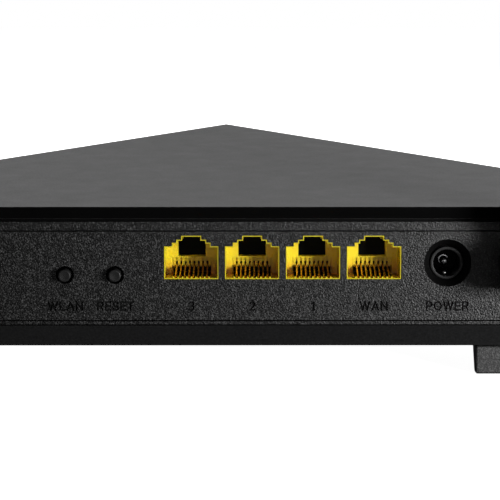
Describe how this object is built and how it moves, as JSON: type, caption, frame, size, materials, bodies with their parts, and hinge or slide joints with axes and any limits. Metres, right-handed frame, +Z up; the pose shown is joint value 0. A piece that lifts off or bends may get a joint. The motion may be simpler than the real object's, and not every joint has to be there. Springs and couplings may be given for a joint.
{
  "type": "wireless router",
  "caption": "Delta-shaped desktop router shell with a rear row of network sockets, a round power inlet, push buttons and folding aerials.",
  "frame": {"origin": "middle of the footprint's bounding box, on the desk surface under the feet", "axes": "+Z up, +Y towards the nose (front), -Y out of the rear sockets, +X to the right when facing the sockets"},
  "size_m": [0.232, 0.1544, 0.1894],
  "materials": {
    "lid_grey": "fine matt moulded plastic",
    "textured_black": "spark-eroded texture",
    "smooth_black": "smooth satin",
    "aerial_black": "smooth matt",
    "foot_black": "textured, hard",
    "button_grey": "satin",
    "socket_yellow": "translucent-looking moulded yellow",
    "contact_gold": "gold plated",
    "steel": "plain",
    "inlet_plastic": "satin",
    "board_green": "solder mask",
    "chip_black": "moulded epoxy",
    "alloy": "stamped",
    "can_blue": "printed sleeve",
    "clear_plastic": "clear",
    "cable_grey": "extruded jacket"
  },
  "bodies": {
    "case": {"top_cover": "lid_grey", "middle_housing": "textured_black", "port_panel": "textured_black", "bottom_cover": "smooth_black", "rear_foot_left": "foot_black", "rear_foot_right": "foot_black", "front_foot_left": "foot_black", "front_foot_right": "foot_black", "case_screw_1": "steel", "case_screw_2": "steel", "case_screw_3": "steel", "case_screw_4": "steel", "lan3_socket": "socket_yellow", "lan2_socket": "socket_yellow", "lan1_socket": "socket_yellow", "wan_socket": "socket_yellow", "lan3_contacts": "contact_gold", "lan2_contacts": "contact_gold", "lan1_contacts": "contact_gold", "wan_contacts": "contact_gold", "power_inlet": "inlet_plastic", "power_inlet_pin": "steel", "power_inlet_spring": "steel", "wlan_switch_body": "chip_black", "reset_switch_body": "chip_black", "circuit_board": "board_green", "processor_chip": "chip_black", "heat_sink": "alloy", "memory_chip": "chip_black", "flash_chip": "chip_black", "line_transformer_lan": "chip_black", "line_transformer_wan": "chip_black", "radio_shield_left": "alloy", "radio_shield_right": "alloy", "smoothing_capacitor": "can_blue", "power_inductor": "chip_black", "status_lamp": "clear_plastic", "status_light_pipe": "clear_plastic", "antenna_lead_left": "cable_grey", "antenna_lead_right": "cable_grey"},
    "wlan_button": {"wlan_button_cap": "button_grey", "wlan_switch_plunger": "chip_black"},
    "reset_button": {"reset_button_cap": "button_grey", "reset_switch_plunger": "chip_black"},
    "antenna_turntable_left": {"antenna_knuckle_left": "aerial_black", "antenna_retaining_ring_left": "steel", "antenna_hinge_pin_left": "steel"},
    "antenna_blade_left": {"antenna_arm_left": "aerial_black", "antenna_tip_left": "aerial_black", "antenna_board_left": "board_green"},
    "antenna_turntable_right": {"antenna_knuckle_right": "aerial_black", "antenna_retaining_ring_right": "steel", "antenna_hinge_pin_right": "steel"},
    "antenna_blade_right": {"antenna_arm_right": "aerial_black", "antenna_tip_right": "aerial_black", "antenna_board_right": "board_green"}
  },
  "joints": [
    {"name": "wlan_button_press", "type": "slide", "parent": "case", "child": "wlan_button", "axis": [0, 1, 0], "range_m": [0, 0.0006], "stiffness_N_per_m": 500, "springref_m": -0.0006},
    {"name": "reset_button_press", "type": "slide", "parent": "case", "child": "reset_button", "axis": [0, 1, 0], "range_m": [0, 0.0006], "stiffness_N_per_m": 500, "springref_m": -0.0006},
    {"name": "antenna_swivel_left", "type": "hinge", "parent": "case", "child": "antenna_turntable_left", "pos_m": [-0.0715, -0.06075, 0.0264], "axis": [0, -1, 0], "range_deg": [-20, 90]},
    {"name": "antenna_fold_left", "type": "hinge", "parent": "antenna_turntable_left", "child": "antenna_blade_left", "pos_m": [-0.0715, -0.07125, 0.0264], "axis": [1, 0, 0], "range_deg": [0, 90]},
    {"name": "antenna_swivel_right", "type": "hinge", "parent": "case", "child": "antenna_turntable_right", "pos_m": [0.0715, -0.06075, 0.0264], "axis": [0, 1, 0], "range_deg": [-20, 90]},
    {"name": "antenna_fold_right", "type": "hinge", "parent": "antenna_turntable_right", "child": "antenna_blade_right", "pos_m": [0.0715, -0.07125, 0.0264], "axis": [1, 0, 0], "range_deg": [0, 90]}
  ]
}
